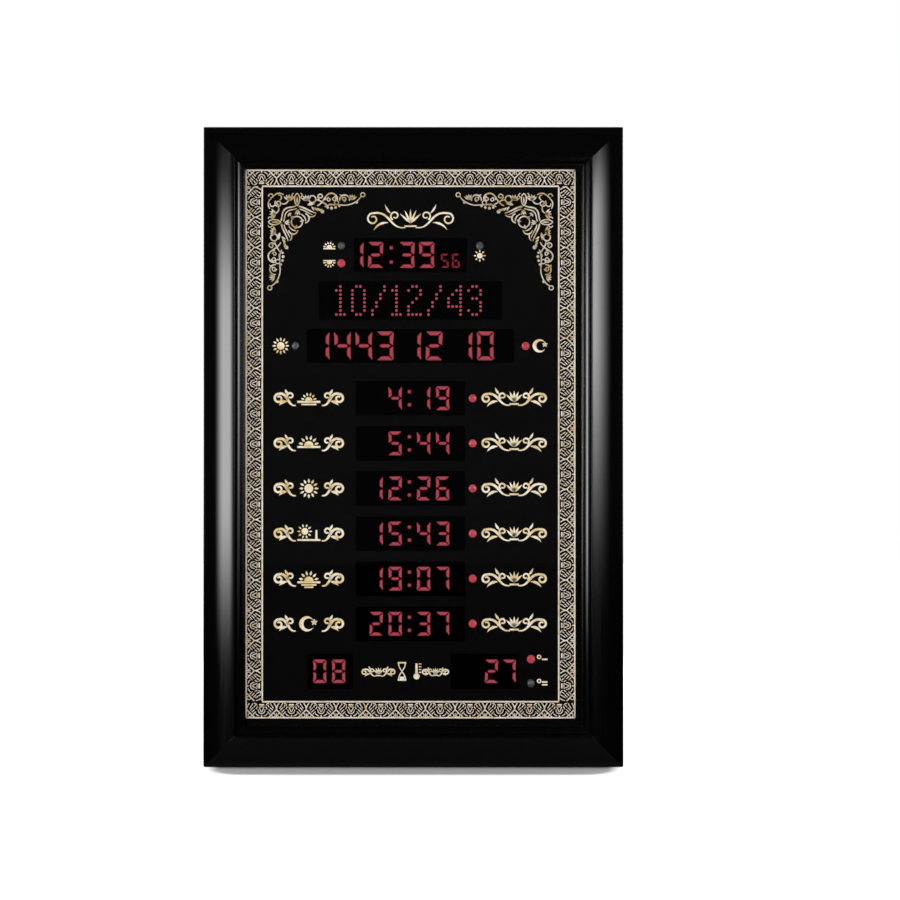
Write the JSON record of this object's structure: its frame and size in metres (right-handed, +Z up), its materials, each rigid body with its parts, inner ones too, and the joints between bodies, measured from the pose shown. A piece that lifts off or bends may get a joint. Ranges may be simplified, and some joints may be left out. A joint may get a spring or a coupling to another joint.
{
  "type": "digital prayer-time wall clock",
  "caption": "Digital wall clock for prayer times: a mitred gloss black moulding round a black printed panel with red seven-segment windows.",
  "frame": {"origin": "midway between the entry holes of the two hanging keyholes, on the plane of the frame's back", "axes": "+Z up as the clock hangs, +Y towards the wall, so the face looks along -Y, and +X to the viewer's right"},
  "size_m": [0.42, 0.0485, 0.64],
  "materials": {
    "black_film": "black print with gold ornament",
    "black_lacquer": "gloss black lacquer on moulded fibreboard",
    "black_moulding": "fine spark texture",
    "black_nylon": "moulded",
    "black_pvc": "twin lead sheath",
    "bright_steel": "bare steel",
    "bumper_rubber": "soft black",
    "capacitor_sleeve": "shrink sleeve",
    "chip_package": "moulded epoxy",
    "circuit_board": "green solder resist",
    "clear_acrylic": "polished clear acrylic",
    "coil_copper": "enamelled copper",
    "cone_paper": "pressed paper",
    "contact_nickel": "nickel plated",
    "display_body": "matt black moulding",
    "ferrite": "ground ferrite",
    "grey_pvc": "flat grey sheath",
    "hardboard": "bare brown hardboard",
    "red_lamp": "red diffusing lens",
    "red_light_bar": "red diffusing resin",
    "smoked_filter": "smoked film",
    "spacer_wood": "bare softwood",
    "speaker_steel": "black painted pressing",
    "surround_foam": "soft foam",
    "white_nylon": "moulded",
    "zinc_plated_steel": "zinc plated"
  },
  "bodies": {
    "clock": {"back_panel": "hardboard", "battery_holder": "black_nylon", "board_standoffs": "white_nylon", "bottom_rail": "black_lacquer", "cable_sockets": "black_nylon", "clock_display": "display_body", "coin_cell": "bright_steel", "corner_v_nails": "bright_steel", "day_display": "display_body", "dc_inlet": "black_nylon", "dc_inlet_pin": "contact_nickel", "face_film": "black_film", "flat_cables": "grey_pvc", "front_panel": "clear_acrylic", "indicator_leds": "red_lamp", "inlet_cup": "black_moulding", "internal_leads": "black_pvc", "iqamah_display": "display_body", "ir_receiver": "chip_package", "keyhole_plates": "zinc_plated_steel", "left_stile": "black_lacquer", "main_board": "circuit_board", "main_board_chips": "chip_package", "matrix_modules": "display_body", "month_display": "display_body", "power_capacitors": "capacitor_sleeve", "prayer_board": "circuit_board", "prayer_display_1": "display_body", "prayer_display_2": "display_body", "prayer_display_3": "display_body", "prayer_display_4": "display_body", "prayer_display_5": "display_body", "prayer_display_6": "display_body", "prayer_segments": "red_light_bar", "right_stile": "black_lacquer", "seconds_display": "display_body", "spacer_strips": "spacer_wood", "speaker_basket": "speaker_steel", "speaker_magnet": "ferrite", "speaker_surround": "surround_foam", "status_board": "circuit_board", "status_segments": "red_light_bar", "temperature_display": "display_body", "temperature_sensor": "chip_package", "time_board": "circuit_board", "time_segments": "red_light_bar", "top_rail": "black_lacquer", "turn_button_screws": "zinc_plated_steel", "wall_bumpers": "bumper_rubber", "window_filters": "smoked_filter", "year_display": "display_body"},
    "turn_button_1": {"turn_button_1": "zinc_plated_steel"},
    "turn_button_2": {"turn_button_2": "zinc_plated_steel"},
    "turn_button_3": {"turn_button_3": "zinc_plated_steel"},
    "turn_button_4": {"turn_button_4": "zinc_plated_steel"},
    "speaker_cone": {"speaker_cone": "cone_paper", "speaker_voice_coil": "coil_copper"}
  },
  "joints": [
    {"name": "turn_button_1_pivot", "type": "hinge", "parent": "clock", "child": "turn_button_1", "pos_m": [-0.182, 0.0007, -0.13], "axis": [0, 1, 0], "continuous": true},
    {"name": "turn_button_2_pivot", "type": "hinge", "parent": "clock", "child": "turn_button_2", "pos_m": [-0.182, 0.0007, -0.47], "axis": [0, 1, 0], "continuous": true},
    {"name": "turn_button_3_pivot", "type": "hinge", "parent": "clock", "child": "turn_button_3", "pos_m": [0.182, 0.0007, -0.13], "axis": [0, 1, 0], "continuous": true},
    {"name": "turn_button_4_pivot", "type": "hinge", "parent": "clock", "child": "turn_button_4", "pos_m": [0.182, 0.0007, -0.47], "axis": [0, 1, 0], "continuous": true},
    {"name": "speaker_cone_travel", "type": "slide", "parent": "clock", "child": "speaker_cone", "axis": [0, 1, 0], "range_m": [-0.0008, 0.0008], "stiffness_N_per_m": 500, "deforming": ["speaker_surround"]}
  ]
}
